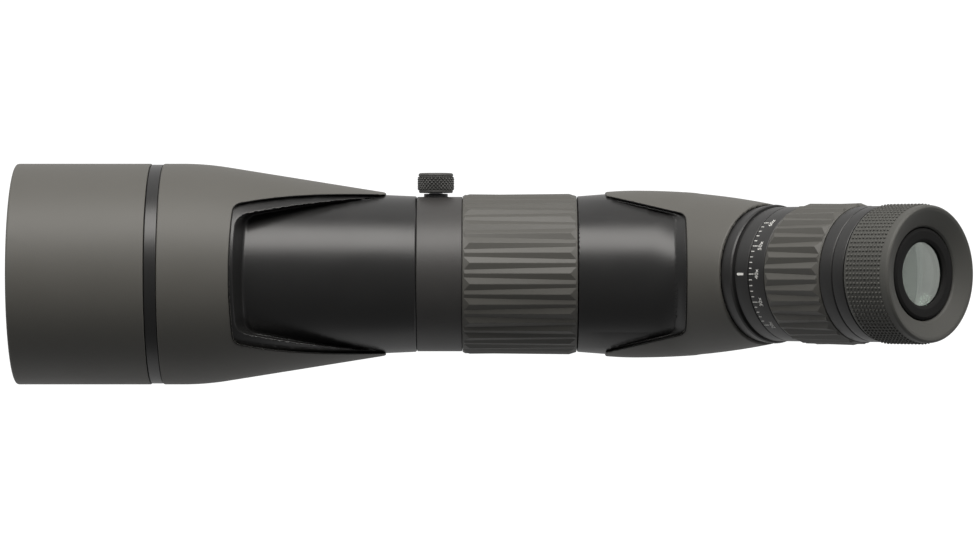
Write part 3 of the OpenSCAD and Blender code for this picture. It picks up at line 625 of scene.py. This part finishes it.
def shaded_edge_line(name, outline, form, start, end, trim):
    """Near-black bead round a window, drawn above and below the axis: painted shade standing for the
    armour's shaded edge wall.
    """
    parts = []
    half = outline_path(outline, start, end, end)
    half = half[[trim(p[0]) for p in half]]
    full = np.concatenate([half, (half * [1, -1])[::-1][1:]])
    for side in (1, -1):
        parts.append(cord_mesh(drop_onto(form, full, side), 0.24))
    verts, faces = join_parts(parts)
    return piece(name, verts, faces, WINDOW_EDGE_SHADE, "scope_body", crease=60)


# Painted shade: a near-black bead along the edge of each window
shaded_edge_line("front_window_line", front_outline, lambda x, y, z: np.sqrt(y * y + z * z) - front_armour_r(x),
       -24.5, FRONT_WINDOW_X, lambda x: x < -24.3)
shaded_edge_line("rear_window_line", rear_outline, rear_outer, 72.9, REAR_WINDOW_X, lambda x: x > 72.6)

# ---------------------------------------------------------------- sunshade and objective

turned("hood_skin", OPTICAL, [
    (46.4, SHADE_REAR, 0.05), (46.4, SHADE_FRONT + 1.2, 0.05), (HOOD_BORE, SHADE_FRONT + 1.2, 0.1),
    (HOOD_BORE, SHADE_FRONT, 0.7), (HOOD_R, SHADE_FRONT, 1.3), (HOOD_R, SHADE_REAR, 0.5),
], ARMOUR, "sunshade", ["sunshade_armour"], segments=256)

hood_tube = [(46.35, SHADE_FRONT + 1.2, 0.05), (46.35, SHADE_REAR, 0.05), (44.65, SHADE_REAR, 0.1),
             (44.65, SHADE_REAR - 1.7, 0.1), (HOOD_BORE, SHADE_REAR - 1.7, 0.05)]
# Fine light-trapping grooves in the bore
for k in range(18):
    at = SHADE_REAR - 30 - k * 1.4
    hood_tube += [(HOOD_BORE, at, 0.02), (HOOD_BORE + 0.25, at - 0.35, 0.02),
                  (HOOD_BORE + 0.25, at - 0.7, 0.02), (HOOD_BORE, at - 1.05, 0.02)]
hood_tube += [(HOOD_BORE, SHADE_FRONT + 1.2, 0.05)]
turned("hood_tube", OPTICAL, hood_tube, INNER, "sunshade", ["sunshade_tube"], segments=256)


def groove(floor_r, x0, x1):
    """Corners of a groove in the barrel, for a friction ring or a stop ring."""
    return [(CELL_R, x0, 0.02), (floor_r, x0, 0.02), (floor_r, x1, 0.02), (CELL_R, x1, 0.02)]


turned("main_barrel", OPTICAL, [
    (42.6, -178, 0.2), (CELL_R, -178, 0.5),
    *groove(44.02, -174.99, -172.01), *groove(44.02, -168.99, -166.01), *groove(43.92, -164.79, -162.61),
    (CELL_R, BAND_FRONT, 0.02), (47.6, BAND_FRONT, 0.35), (47.6, BAND_REAR - 0.15, 0.35),
    (44.0, BAND_REAR - 0.15, 0.02), (44.0, -97, 0.5), (TUBE_R0, -88.5, 0.6), (TUBE_R1, TONGUE_TIP, 5),
    (33.85, -COLLAR_HALF - 0.8, 0.4), (33.4, -COLLAR_HALF - 0.3, 0.3), (29, -COLLAR_HALF - 0.3, 0.1),
    (29, COLLAR_HALF - 0.05, 0.1), (26.35, COLLAR_HALF - 0.05, 0.1), (26.35, -14, 0.1), (31, -14, 0.1),
    (33, -84, 0.5), (40.6, -122, 0.5), (40.6, -150, 0.1), (42.6, -150, 0.1),
], TUBE, "scope_body", ["objective_barrel"], segments=256)

retainer = [(39.5, -174.4, 0.1), (42.5, -176.9, 0.3), (42.5, -175.0, 0.1), (41.05, -175.0, 0.05),
            (41.05, -168.8, 0.05), (39.6, -169.1, 0.05)]
turned("lens_retaining_ring", OPTICAL, retainer, INNER, "scope_body", ["objective_retainer"],
       segments=256)


def lens(rim, front, rear, sag_front, sag_rear, steps=24):
    """Section of a lens, bulging forwards by sag_front and backwards by sag_rear, with a ground edge."""
    share = np.linspace(0, 1, steps)
    first = [(rim * s, front + sag_front * s * s) for s in share]
    last = [(rim * s, rear - sag_rear * s * s) for s in share[::-1]]
    return first + last


def lens_piece(name, axis, section, mat, nodes):
    """A turned lens fixed in the scope body."""
    verts, faces = lathe(axis, section, 128)
    return piece(name, verts, faces, mat, "scope_body", nodes, crease=40)


lens_piece("objective_lens", OPTICAL, lens(40.98, -172.4, -161.4, 3.7, 4.2), COATED,
           ["objective_front_lens"])

# ---------------------------------------------------------------- tripod collar and lock

turned("collar_ring", OPTICAL, [
    (30, -9.8, 0.1), (33.6, -9.8, 0.55), (33.6, 9.84, 0.55), (30, 9.84, 0.1),
], COLLAR, "tripod_collar", ["mount_collar"], segments=256)

LOCK = tuple(map(np.array, ((-1.7, 0, AXIS_H), (0, 1.0, 0), (1.0, 0, 0), (0, 0, -1.0))))
turned("lock_neck", LOCK, [(3.05, 32.4, 0.05), (5.2, 32.4, 0.05), (5.2, 34.9, 0.35), (3.05, 34.9, 0.1)],
       RING, "tripod_collar", ["lock_bushing"], segments=96)


def knob():
    """Cap with a diamond knurl between two plain chamfered rims."""
    count, segments, rows = 28, 280, 36
    y0, y1 = 35.3, 43.9
    k0, k1 = y0 + 1.0, y1 - 1.5
    angle = np.linspace(0, 2 * math.pi, segments, endpoint=False)
    pitch = 2 * math.pi / count

    def tri(u):
        return 2 * np.abs(u - np.floor(u) - 0.5)

    # A radius of None stands for a knurled row
    section = [(3.0, y0), (7.0, y0), (7.35, y0 + 0.3), (7.4, y0 + 0.8)]
    for i in range(rows + 1):
        section.append((None, k0 + (k1 - k0) * i / rows))
    section += [(7.4, k1 + 0.2), (7.55, k1 + 0.3), (7.55, y1 - 0.75), (7.4, y1 - 0.35), (6.95, y1), (0, y1),
                (0, y1 - 2.4), (3.0, y1 - 2.4)]
    verts, index = [], []
    for r, y in section:
        if r == 0:
            index.append(np.full(segments, len(verts)))
            verts.append(place(LOCK, 0.0, y, 0.0))
            continue
        if r is None:
            lead = (y - k0) / (7.7 * pitch * 0.95)
            turn = angle / pitch
            high = np.minimum(tri(turn + lead), tri(turn - lead))
            fade = min(1, (y - k0) / 0.4, (k1 - y) / 0.4)
            r = 7.25 + 0.75 * np.minimum(high * 1.3, 1) * fade
        index.append(np.arange(segments) + len(verts))
        verts.extend(place(LOCK, r, y, angle))
    return verts, [face[::-1] for face in ring_faces(index, False)]


verts, faces = knob()
piece("lock_knob_knurled", verts, faces, KNOB, "lock_knob", ["lock_knob"], crease=28)

# ---------------------------------------------------------------- ridged grips

def ridged(axis, x0, x1, count, r_valley, r_high, r_low, bore, start, wide, rim_drop, phase=0.0):
    """Grip of paired long wedges: each ridge is wide and high at one end, narrow and low at the other,
    and its neighbours run the other way."""
    length = x1 - x0
    period = 2 * math.pi / count
    steps = 10
    rim, blunt, flat = 0.6, 0.9, 0.14
    verts, faces = [], []

    def add(r, x, a):
        verts.append(place(axis, r, x0 + x, a + phase))
        return len(verts) - 1

    share = np.linspace(0, 1, steps + 1)
    valley_x = rim + (length - 2 * rim) * share
    mid_front, mid_rear, crest, valley = [], [], [], []
    for i in range(2 * count):
        way = i % 2 == 0
        centre = (i + 0.5) * period / 2
        # Half width of the wedge as it runs along the grip; the valley is on its lower-angle side
        edge = wide + (1 - 2 * wide) * share if way else (1 - wide) + (2 * wide - 1) * share
        valley.append([add(r_valley, x, centre - e * period / 2) for x, e in zip(valley_x, edge)])
        crest_x = (start if way else blunt) + (length - start - blunt) * share
        crest_r = r_high + (r_low - r_high) * share if way else r_low + (r_high - r_low) * share
        pair = []
        for s in (-1, 1):
            pair.append([add(r, x, centre + s * flat / r) for x, r in zip(crest_x, crest_r)])
        crest.append(pair)
        mid_front.append(add(r_valley, rim, centre))
        mid_rear.append(add(r_valley, length - rim, centre))
    loop_front, loop_rear = [], []
    for i in range(2 * count):
        v0, v1 = valley[i], valley[(i + 1) % (2 * count)]
        c0, c1 = crest[i]
        for k in range(steps):
            faces.append([v0[k], c0[k], c0[k + 1], v0[k + 1]])
            faces.append([c0[k], c1[k], c1[k + 1], c0[k + 1]])
            faces.append([c1[k], v1[k], v1[k + 1], c1[k + 1]])
        m = mid_front[i]
        faces += [[v0[0], m, c0[0]], [m, c1[0], c0[0]], [m, v1[0], c1[0]]]
        m = mid_rear[i]
        faces += [[v0[-1], c0[-1], m], [m, c0[-1], c1[-1]], [m, c1[-1], v1[-1]]]
        loop_front += [v0[0], mid_front[i]]
        loop_rear += [v0[-1], mid_rear[i]]

    def angle_of(i):
        d = verts[i] - axis[0]
        return math.atan2(d @ axis[3], d @ axis[2]) - phase

    turns = [angle_of(i) for i in loop_front]
    turns_rear = [angle_of(i) for i in loop_rear]
    rings = [loop_front]
    for r, x, t in ((r_valley - 0.05, 0.25, turns), (r_valley - rim_drop, 0, turns), (bore, 0, turns),
                    (bore, length, turns_rear), (r_valley - rim_drop, length, turns_rear),
                    (r_valley - 0.05, length - 0.25, turns_rear)):
        rings.append([add(r, x, a) for a in t])
    rings.append(loop_rear)
    for a, b in zip(rings, rings[1:]):
        n = len(a)
        for k in range(n):
            faces.append([a[k], b[k], b[(k + 1) % n], a[(k + 1) % n]])
    return verts, [f[::-1] for f in faces]


verts, faces = ridged(OPTICAL, FOCUS_X0, FOCUS_X1, count=24, r_valley=34.1, r_high=34.9, r_low=34.45,
                      bore=31.65, start=3.1, wide=0.63, rim_drop=0.35, phase=math.radians(3.4))
piece("focus_grip_ridged", verts, faces, GRIP, "focus_ring", ["focus_grip"], crease=12)
verts, faces = ridged(EYE, SCALE_END + 0.15, ZOOM_END, count=20, r_valley=28.8, r_high=29.85, r_low=29.45,
                      bore=26.55, start=3.0, wide=0.62, rim_drop=0.35)
piece("zoom_grip_ridged", verts, faces, GRIP, "zoom_ring", ["zoom_grip"], crease=12)

# ---------------------------------------------------------------- eyepiece rings

turned("eyepiece_flange", EYE, [
    (19, 31, 0.1), (SPIGOT_R, 31, 0.2), (SPIGOT_R, BOSS_END, 0.05), (28.6, BOSS_END + 0.05, 0.1),
    (29.0, BOSS_END + 0.5, 0.1), (29.65, EYE_BASE - 1.2, 0.4), (29.3, EYE_BASE - 0.35, 0.15),
    (28.2, EYE_BASE - 0.3, 0.1), (27.6, EYE_BASE - 0.02, 0.1), (21, EYE_BASE - 0.02, 0.1),
    (21, EYE_TUBE_END, 0.1), (19, EYE_TUBE_END, 0.1),
], RING, "scope_body", ["eyepiece_barrel"])

turned("index_ring_turned", EYE, [
    (23.8, EYE_BASE + 0.02, 0.05), (27.9, EYE_BASE + 0.02, 0.05), (27.9, EYE_BASE + 0.7, 0.05),
    (SCALE_R, EYE_BASE + 0.9, 0.25), (SCALE_R, INDEX_END - 0.25, 0.3), (23.8, INDEX_END - 0.25, 0.05),
], RING, "scope_body", ["index_ring"])

turned("scale_ring_turned", EYE, [
    (23.5, INDEX_END + 0.1, 0.05), (SCALE_R, INDEX_END + 0.1, 0.3), (SCALE_R, SCALE_END - 0.3, 0.2),
    (28.2, SCALE_END, 0.1), (23.5, SCALE_END, 0.05),
], RING, "zoom_ring", ["scale_ring"])

turned("collar_above_grip", EYE, [
    (21, ZOOM_END + 0.3, 0.05), (28.4, ZOOM_END + 0.3, 0.45), (28.4, COLLAR_SEAM - 0.35, 0.3),
    (27.9, COLLAR_SEAM - 0.05, 0.1), (25.6, COLLAR_SEAM - 0.05, 0.05), (25.6, ZOOM_END + 1.3, 0.05),
    (21, ZOOM_END + 1.3, 0.05),
], RING, "scope_body", ["eye_collar"])

turned("cup_stop_ring", EYE, [
    (25.6, COLLAR_SEAM, 0.05), (27.9, COLLAR_SEAM, 0.05), (28.4, COLLAR_SEAM + 0.5, 0.3),
    (28.4, CUP_BASE - 0.15, 0.35), (25.6, CUP_BASE - 0.05, 0.05),
], RING, "scope_body", ["eyecup_stop_ring"])


def wrapped(flat_verts, faces, angle0, t0):
    """Lays a flat shape (u, v, height) on the scale ring. u runs to smaller angles, v to the objective."""
    v = np.asarray(flat_verts, float)
    return place(EYE, SCALE_R + v[:, 2], t0 - v[:, 1], angle0 - v[:, 0] / SCALE_R), faces


def bar(width, length, t0, angle0, corner=0.0):
    """Thin raised bar along the eyepiece, from t0 outwards."""
    corner = min(corner, width / 2)
    rim = []
    for cx, cy, a0 in ((1, 1, 0), (-1, 1, 90), (-1, -1, 180), (1, -1, 270)):
        for a in ([0, 22.5, 45, 67.5, 90] if corner else [0]):
            d = math.radians(a0 + a)
            rim.append((cx * (width / 2 - corner) + corner * math.cos(d),
                        cy * (length / 2 - corner) + corner * math.sin(d)))
    n = len(rim)
    flat = [(u, v, -0.15) for u, v in rim] + [(u, v, 0.05) for u, v in rim]
    faces = [list(range(n))[::-1], list(range(n, 2 * n))]
    faces += [[k, (k + 1) % n, n + (k + 1) % n, n + k] for k in range(n)]
    return wrapped(flat, faces, angle0, t0 + length / 2)


def lettering(body, height, t_mid, angle0):
    """Raised figures of the zoom scale."""
    curve = bpy.data.curves.new("figures", "FONT")
    curve.body = body
    curve.size = height / 0.70
    curve.align_x, curve.align_y = "CENTER", "CENTER"
    curve.extrude = 0.1
    curve.resolution_u = 3
    o = bpy.data.objects.new("figures", curve)
    bpy.context.scene.collection.objects.link(o)
    bpy.context.view_layer.update()
    me = bpy.data.meshes.new_from_object(o.evaluated_get(bpy.context.evaluated_depsgraph_get()))
    v = [tuple(p.co) for p in me.vertices]
    f = [list(p.vertices) for p in me.polygons]
    bpy.data.objects.remove(o)
    bpy.data.curves.remove(curve)
    bpy.data.meshes.remove(me)
    v = [(x, y, z - 0.05) for x, y, z in v]
    return wrapped(v, f, angle0, t_mid)


def scale_turn(power):
    """Angle of a zoom power on the scale ring, with 40x at the index mark."""
    return math.radians(180) - (power - 40) / 10 * math.radians(24.4)


marks = []
for power in range(20, 61, 2):
    marks.append(bar(0.34, 2.6 if power % 10 == 0 else 1.5, EYE_BASE + 8.6, scale_turn(power)))
for power in range(20, 61, 10):
    marks.append(lettering(f"{power}x", 1.95, EYE_BASE + 12.9, scale_turn(power)))
verts, faces = join_parts(marks)
piece("zoom_scale_marks", verts, faces, PAINT, "zoom_ring", crease=30)
verts, faces = bar(1.0, 3.6, EYE_BASE + 1.9, math.pi, 0.5)
piece("index_mark", verts, faces, PAINT, "scope_body", crease=30)

# ---------------------------------------------------------------- eyecup and eye lens

def nub(axis, r, x, angle):
    """Low rounded stud standing on a cylinder."""
    sides = 8
    verts, faces, rings = [], [], []
    for rad, up in ((0.60, -0.15), (0.58, 0.22), (0.44, 0.50), (0.20, 0.62)):
        a = np.linspace(0, 2 * math.pi, sides, endpoint=False)
        rings.append(np.arange(sides) + len(verts))
        verts.extend(place(axis, r + up, x + rad * np.cos(a), angle + rad * np.sin(a) / r))
    for a, b in zip(rings, rings[1:]):
        for k in range(sides):
            m = (k + 1) % sides
            faces.append([a[k], b[k], b[m], a[m]])
    faces.append(list(rings[-1])[::-1])
    faces.append(list(rings[0]))
    return verts, faces


CUP_R = 28.55
NUB_ROWS, NUB_COLS, NUB_PITCH = 92, 10, 1.86
cup_section = rounded([
    (25.3, CUP_FRONT, 0.1), (CUP_R - 0.2, CUP_FRONT, 0.4), (CUP_R, CUP_FRONT + 1.2, 0.5),
    (CUP_R, CUP_END - 3.6, 1.0), (28.5, CUP_END - 0.9, 1.0), (27.6, CUP_END - 0.02, 0.8),
    (26.3, CUP_END - 0.35, 0.9), (20.2, CUP_END - 3.5, 0.8), (19.45, CUP_END - 4.3, 0.4),
    (19.45, CUP_END - 7.9, 0.1), (25.3, CUP_END - 7.9, 0.1),
], 0.3)
parts = [lathe(EYE, cup_section, 192)]
first = CUP_FRONT + 1.9
for col in range(NUB_COLS):
    for row in range(NUB_ROWS):
        turn = 2 * math.pi * row / NUB_ROWS
        parts.append(nub(EYE, CUP_R, first + col * NUB_PITCH, turn))
verts, faces = join_parts(parts)
piece("eyecup_studded", verts, faces, CUP, "eyecup", ["eyecup_rubber"], crease=50)

turned("eye_lens_mount", EYE, [
    (17.05, EYE_TUBE_END - 14, 0.1), (18.9, EYE_TUBE_END - 14, 0.1), (18.9, EYE_TUBE_END + 4.4, 0.4),
    (17.8, CUP_END - 3.45, 0.4), (14.6, CUP_END - 3.6, 0.3), (13.3, CUP_END - 4.4, 0.3),
    (13.2, EYE_TUBE_END + 3.5, 0.05), (17.05, EYE_TUBE_END + 3.5, 0.05),
], INNER, "scope_body", ["eye_lens_housing"])
lens_piece("eye_lens_glass", EYE, lens(16.98, EYE_TUBE_END - 1.5, EYE_TUBE_END + 4.35, 0.3, 1.5),
           EYE_GLASS, ["eye_lens"])

# ---------------------------------------------------------------- studio

floor_mat = bpy.data.materials.new("floor_white")
floor_mat.use_nodes = True
ft = floor_mat.node_tree
floor_bsdf = ft.nodes["Principled BSDF"]
floor_bsdf.inputs["Base Color"].default_value = (0.22, 0.22, 0.22, 1)
floor_bsdf.inputs["Roughness"].default_value = 0.9
floor_bsdf.inputs["Emission Color"].default_value = (1, 1, 1, 1)
floor_bsdf.inputs["Emission Strength"].default_value = 0.45
# The camera sees plain white paper; what reaches the scope from it is much weaker
paper = ft.nodes.new("ShaderNodeEmission")
paper.inputs["Strength"].default_value = 1.1
seen = ft.nodes.new("ShaderNodeLightPath")
either = ft.nodes.new("ShaderNodeMixShader")
ft.links.new(seen.outputs["Is Camera Ray"], either.inputs["Fac"])
ft.links.new(floor_bsdf.outputs["BSDF"], either.inputs[1])
ft.links.new(paper.outputs["Emission"], either.inputs[2])
ft.links.new(either.outputs["Shader"], ft.nodes["Material Output"].inputs["Surface"])
floor = mesh_of("floor", [(-6000, -6000, -2), (6000, -6000, -2), (6000, 6000, -2), (-6000, 6000, -2)],
                [(0, 1, 2, 3)], floor_mat, crease=None)

world = bpy.data.worlds.new("studio")
bpy.context.scene.world = world
world.use_nodes = True
wt = world.node_tree
sky = wt.nodes["Background"]
direction = wt.nodes.new("ShaderNodeTexCoord")
split = wt.nodes.new("ShaderNodeSeparateXYZ")
ramp = wt.nodes.new("ShaderNodeValToRGB")
wt.links.new(direction.outputs["Generated"], split.inputs["Vector"])
wt.links.new(split.outputs["Z"], ramp.inputs["Fac"])
wt.links.new(ramp.outputs["Color"], sky.inputs["Color"])
ramp.color_ramp.elements[0].position = 0.0
ramp.color_ramp.elements[0].color = (0.30, 0.30, 0.30, 1)
ramp.color_ramp.elements[1].position = 1.0
ramp.color_ramp.elements[1].color = (0.15, 0.15, 0.15, 1)
for at, level in ((0.12, 0.24), (0.30, 0.18), (0.6, 0.15)):
    e = ramp.color_ramp.elements.new(at)
    e.color = (level, level, level, 1)
sky.inputs["Strength"].default_value = 1.0


def area(name, plan_dir, from_vertical, distance, width, height, power):
    """Soft box that looks at the middle of the scope, leaning from the vertical towards plan_dir."""
    light = bpy.data.lights.new(name, "AREA")
    light.shape = "RECTANGLE"
    light.size, light.size_y = width, height
    light.energy = power
    o = bpy.data.objects.new(name, light)
    bpy.context.scene.collection.objects.link(o)
    a = math.radians(from_vertical)
    d = Vector((plan_dir[0] * math.sin(a), plan_dir[1] * math.sin(a), math.cos(a)))
    target = Vector((0.02, 0, 0.06))
    o.location = target + d * distance
    o.rotation_mode = "QUATERNION"
    o.rotation_quaternion = d.to_track_quat("Z", "Y")
    return o


key = area("key_softbox", (0, 1), 53, 1.3, 2.6, 0.80, 43)
key.data.color = (1.0, 0.975, 0.945)

camera_data = bpy.data.cameras.new("camera")
camera = bpy.data.objects.new("camera", camera_data)
bpy.context.scene.collection.objects.link(camera)
camera_data.lens = 152.3
camera_data.sensor_width = 36
camera.location = (0.0214, -0.0004, AXIS_H / 1000 + 1.8)
camera.rotation_mode = "QUATERNION"
camera.rotation_quaternion = (1, 0, 0, 0)
camera_data.clip_start, camera_data.clip_end = 0.05, 20
bpy.context.scene.camera = camera
bpy.context.scene.view_settings.view_transform = "Standard"
